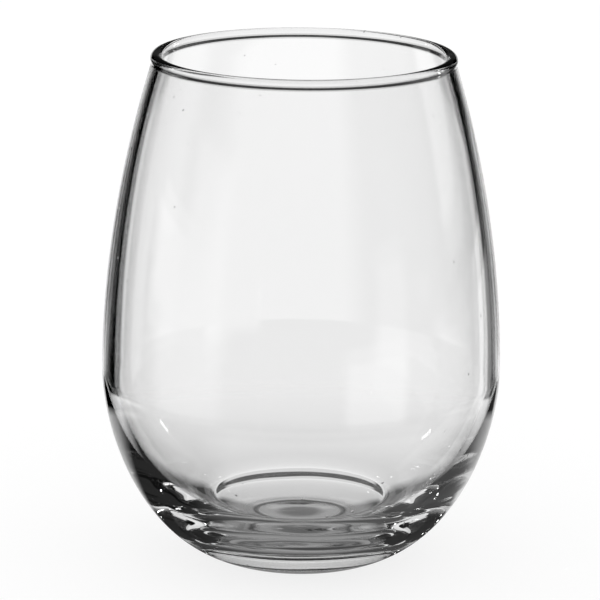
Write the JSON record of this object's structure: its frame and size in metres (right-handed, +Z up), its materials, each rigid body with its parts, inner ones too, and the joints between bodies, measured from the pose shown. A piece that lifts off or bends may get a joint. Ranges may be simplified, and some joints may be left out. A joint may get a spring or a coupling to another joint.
{
  "type": "stemless wine glass",
  "caption": "Stemless wine glass: an egg-shaped clear bowl that narrows to a rounded lip and stands straight on a small ring under its thick, rounded base.",
  "frame": {"origin": "centre of the foot ring, on the surface that the glass stands on", "axes": "+Z up along the axis of the bowl, from the foot to the lip; X and Y lie in the plane of the table and are alike, because the glass is round"},
  "size_m": [0.09, 0.09, 0.116],
  "materials": {
    "glass": "clear soda-lime glass, fire-polished and smooth"
  },
  "bodies": {
    "root": {"glass": "glass"}
  },
  "joints": []
}
